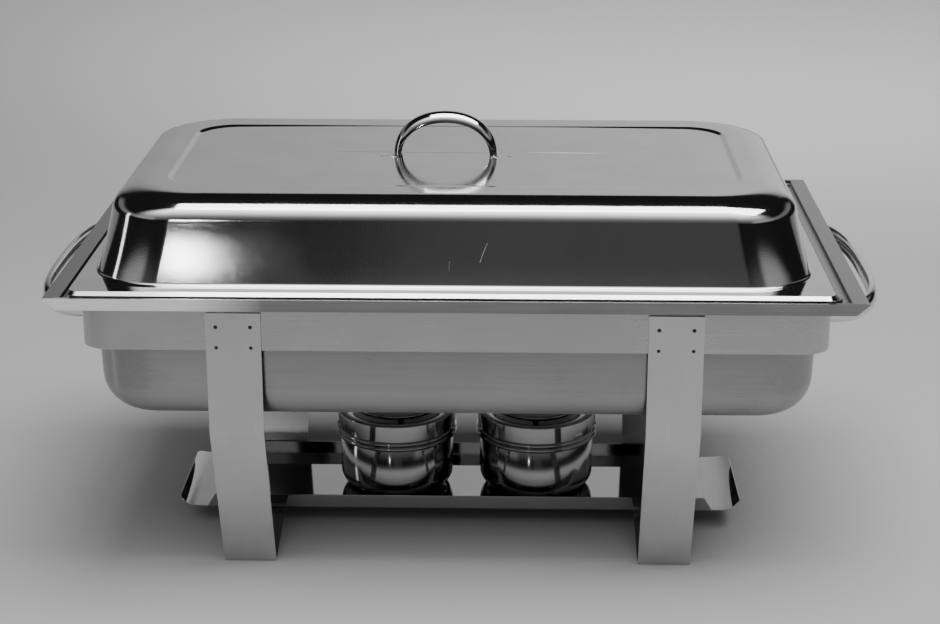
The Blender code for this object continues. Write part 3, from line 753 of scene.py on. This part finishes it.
def make_cover(side, x):
    """Ring cover with a flat top, a straight band and two rolled beads round its foot."""
    profile = [(FLAME_HOLE, COVER_TOP)]
    profile += arc((COVER_RADIUS - COVER_EDGE, COVER_TOP - COVER_EDGE), COVER_EDGE, 90, 0, 6)
    steps = 24
    for step in range(steps + 1):
        swell = abs(math.sin(2 * math.pi * step / steps))
        z = COVER_SHOULDER + (COVER_BOTTOM - COVER_SHOULDER) * step / steps
        profile.append((COVER_WAIST + (COVER_BEAD - COVER_WAIST) * swell, z))
    cover = turned("cover_skin_" + side, profile, (x, 0, 0), SHEET)
    finish_piece(cover, BURNER_STEEL, "burner_cover_" + side, ["burner_cover_" + side])


def make_damper(side, x):
    """Shallow cap over the flame hole and the flat ear that turns on the rivet."""
    profile = [(0.0, DAMPER_TOP)]
    profile += arc((DAMPER_RADIUS - DAMPER_EDGE, DAMPER_TOP - DAMPER_EDGE), DAMPER_EDGE, 90, 0, 6)
    profile.append((DAMPER_RADIUS, DAMPER_BOTTOM))
    damper = turned("damper_skin_" + side, profile, (x, 0, 0), SHEET)
    finish_piece(damper, BURNER_STEEL, "burner_damper_" + side, ["burner_damper_" + side])
    rows = []
    for radius, z in ((RIVET_SHANK + GAP, 0), (RIVET_SHANK + GAP, EAR_THICK), (EAR_HALF_WIDTH, EAR_THICK),
                      (EAR_HALF_WIDTH, 0), (RIVET_SHANK + GAP, 0)):
        outer = radius == EAR_HALF_WIDTH
        stretch = EAR_HALF_LENGTH / EAR_HALF_WIDTH if outer else 1.0
        middle = RIVET_Y - EAR_OFFSET if outer else RIVET_Y
        rows.append([Vector((x + u, middle + stretch * v, DAMPER_BOTTOM + z))
                     for u, v in arc((0, 0), radius, 360, 0, 40)[:-1]])
    ear = surface("damper_ear_" + side, rows, closed_rows=True)
    finish_piece(ear, BURNER_STEEL, "burner_damper_" + side, [])


def make_rivet(side, x):
    under_head = DAMPER_BOTTOM + EAR_THICK + GAP
    tail = COVER_TOP - SHEET - GAP
    profile = [(0.0, under_head + 1.4 * MM), (1.4 * MM, under_head + 1.3 * MM),
               (2.6 * MM, under_head + 1.0 * MM), (3.4 * MM, under_head + 0.5 * MM),
               (RIVET_HEAD, under_head + 0.2 * MM), (RIVET_HEAD, under_head),
               (RIVET_SHANK, under_head), (RIVET_SHANK, tail), (RIVET_TAIL, tail),
               (RIVET_TAIL, tail - 0.6 * MM), (0.0, tail - 0.8 * MM)]
    rivet = turned("rivet_skin_" + side, profile, (x, RIVET_Y, 0), steps=32)
    finish_piece(rivet, BURNER_STEEL, "burner_cover_" + side, ["damper_rivet_" + side])


# ---------------------------------------------------------------- studio

def make_floor():
    mesh_data = bmesh.new()
    bmesh.ops.create_circle(mesh_data, cap_ends=True, segments=96, radius=FLOOR_RADIUS)
    floor = piece_from("floor", mesh_data)
    floor.data.materials.append(paper("paper", PAPER_SHADE))


def make_world():
    """Studio as the steel sees it, from the direction alone.

    A pale backdrop glows low down behind the object, the ceiling brightens towards its front, and a
    dim band runs round the sides. The rest is dark.
    """
    world = bpy.data.worlds.new("studio")
    bpy.context.scene.world = world
    world.use_nodes = True
    nodes, links = world.node_tree.nodes, world.node_tree.links
    place = nodes.new("ShaderNodeTexCoord")
    axes = nodes.new("ShaderNodeSeparateXYZ")
    links.new(place.outputs["Generated"], axes.inputs["Vector"])

    def fade(axis, start, end, value_start, value_end):
        remap = nodes.new("ShaderNodeMapRange")
        remap.interpolation_type = "SMOOTHSTEP"
        remap.inputs["From Min"].default_value = start
        remap.inputs["From Max"].default_value = end
        remap.inputs["To Min"].default_value = value_start
        remap.inputs["To Max"].default_value = value_end
        links.new(axes.outputs[axis], remap.inputs["Value"])
        return remap.outputs["Result"]

    def maths(operation, first, *others):
        """Joins sockets and numbers by one operation."""
        node = nodes.new("ShaderNodeMath")
        node.operation = operation
        for socket, value in zip(node.inputs, (first, *others)):
            if isinstance(value, bpy.types.NodeSocket):
                links.new(value, socket)
            else:
                socket.default_value = value
        return node.outputs["Value"]

    backdrop_top = [math.sin(math.radians(angle)) for angle in (24.5, 26.5)]
    glow = maths("MULTIPLY", fade("Z", *backdrop_top, 1, 0), fade("Y", 0.82, 0.93, 0, 1))
    glow = maths("MULTIPLY", glow, fade("X", -0.5, 0.5, 0.55, 1.45))
    ahead = fade("Y", -0.05, -0.45, 0, 1)
    ceiling = maths("MULTIPLY", maths("POWER", maths("MAXIMUM", axes.outputs["Z"], 0.0), 5.0), ahead)
    haze = maths("MULTIPLY", ahead, fade("Z", 0.20, 0.36, 0, 1))
    beside = maths("ADD", fade("X", 0.50, 0.66, 0, 1), fade("X", -0.50, -0.66, 0, 1))
    beside = maths("MULTIPLY", beside, fade("Z", 0.20, 0.27, 0, 1))
    band = maths("MULTIPLY", beside, fade("Z", 0.36, 0.50, 1, 0))
    window = maths("MULTIPLY", fade("X", -0.12, -0.03, 0, 1), fade("X", 0.15, 0.24, 1, 0))
    window = maths("MULTIPLY", window, fade("Y", -0.93, -0.97, 0, 1))
    total = 0.012
    for part, brightness in ((glow, 0.56), (haze, 0.10), (band, 0.18),
                             (maths("MULTIPLY", beside, ahead), 0.08), (ceiling, 5.6), (window, 0.06)):
        total = maths("MULTIPLY_ADD", part, brightness, total)
    links.new(total, nodes["Background"].inputs["Color"])


def aim(light, place, target):
    """Puts a light in the scene, shining from place towards target."""
    obj = bpy.data.objects.new(light.name, light)
    bpy.context.scene.collection.objects.link(obj)
    obj.location = place
    obj.rotation_euler = (Vector(target) - Vector(place)).to_track_quat("-Z", "Y").to_euler()


def softbox(name, place, target, size, power):
    light = bpy.data.lights.new(name, "AREA")
    light.shape = "RECTANGLE"
    light.size, light.size_y = size
    light.energy = power
    aim(light, place, target)


def spot(name, place, target, power):
    light = bpy.data.lights.new(name, "SPOT")
    light.energy = power
    light.spot_size = math.radians(70)
    light.spot_blend = 1.0
    light.shadow_soft_size = 0.3
    aim(light, place, target)


def make_lights():
    softbox("overhead_softbox", (0.40, -0.15, 1.85), (0.40, -0.15, 0), size=(1.8, 1.10), power=46)
    softbox("left_lamp", (-0.62, -2.6, 0.71), (0, 0, 0.25), size=(0.03, 0.20), power=0.80)
    softbox("left_window", (-2.2, -0.1, 0.55), (0, 0, 0.2), size=(0.18, 0.9), power=1.5)
    spot("far_floor_spot", (0.3, -0.3, 2.3), (0.5, 3.2, 0), power=620)


def make_camera():
    camera = bpy.data.cameras.new("camera")
    camera.sensor_width = 36.0
    camera.lens = CAMERA_LENS
    obj = bpy.data.objects.new("camera", camera)
    bpy.context.scene.collection.objects.link(obj)
    obj.location = CAMERA_PLACE
    obj.rotation_euler = (math.radians(90 - CAMERA_DOWN), 0, math.radians(CAMERA_TURN))
    bpy.context.scene.camera = obj


make_rail("rail_skin_front", "frame_rail_front", True, -1, FRONT_RAIL_STEEL)
make_rail("rail_skin_back", "frame_rail_back", True, 1, BACK_RAIL_STEEL)
make_rail("rail_skin_left", "frame_rail_left", False, -1, SHORT_RAIL_STEEL)
make_rail("rail_skin_right", "frame_rail_right", False, 1, SHORT_RAIL_STEEL)
make_skirt()
make_shelf()
for side, sign in (("left", -1), ("right", 1)):
    make_leg(side, sign)
    make_welds(side, sign)
    make_side_handle(side, sign)
make_pan("water_pan_skin", "water_pan", "water_pan", WATER_PAN)
make_pan("food_pan_skin", "food_pan", "food_pan", FOOD_PAN)
make_lid()
make_scratches()
make_lid_handle()
for side, x in BURNERS.items():
    make_cup(side, x)
    make_cover(side, x)
    make_damper(side, x)
    make_rivet(side, x)
make_floor()
make_world()
make_lights()
make_camera()
